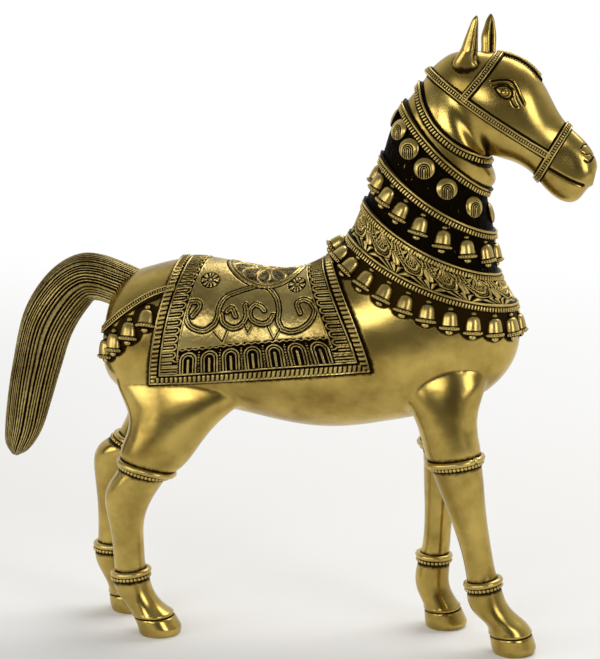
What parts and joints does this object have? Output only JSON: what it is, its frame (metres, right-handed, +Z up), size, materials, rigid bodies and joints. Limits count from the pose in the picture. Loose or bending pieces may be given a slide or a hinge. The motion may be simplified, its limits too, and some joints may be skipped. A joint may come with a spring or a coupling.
{
  "type": "bankura horse",
  "caption": "Standing ornamental horse in cast brass, with bridle, neck collars hung with discs and bells, saddle cloth, crupper and ringed legs.",
  "frame": {"origin": "centre of the bounding box's foot, on the surface the hooves stand on", "axes": "+X from the tail to the muzzle, +Y to the horse's left, +Z up"},
  "size_m": [0.3221, 0.0736, 0.337],
  "materials": {
    "polished_brass": "polished, with dark patina in the recesses"
  },
  "bodies": {
    "root": {"brow_strap": "polished_brass", "cheek_straps": "polished_brass", "crupper": "polished_brass", "crupper_bells": "polished_brass", "fetlock_rings": "polished_brass", "fifth_collar": "polished_brass", "forehead_strap": "polished_brass", "fourth_collar": "polished_brass", "head": "polished_brass", "left_ear": "polished_brass", "left_fore_cannon": "polished_brass", "left_fore_hoof": "polished_brass", "left_forearm": "polished_brass", "left_hind_cannon": "polished_brass", "left_hind_hoof": "polished_brass", "left_thigh": "polished_brass", "lower_bells": "polished_brass", "neck": "polished_brass", "neck_discs": "polished_brass", "noseband": "polished_brass", "right_ear": "polished_brass", "right_fore_cannon": "polished_brass", "right_fore_hoof": "polished_brass", "right_forearm": "polished_brass", "right_hind_cannon": "polished_brass", "right_hind_hoof": "polished_brass", "right_thigh": "polished_brass", "saddle_border": "polished_brass", "saddle_cloth": "polished_brass", "second_collar": "polished_brass", "tail": "polished_brass", "third_collar": "polished_brass", "throat_collar": "polished_brass", "torso_left": "polished_brass", "torso_right": "polished_brass", "upper_bells": "polished_brass", "upper_leg_rings": "polished_brass"}
  },
  "joints": []
}
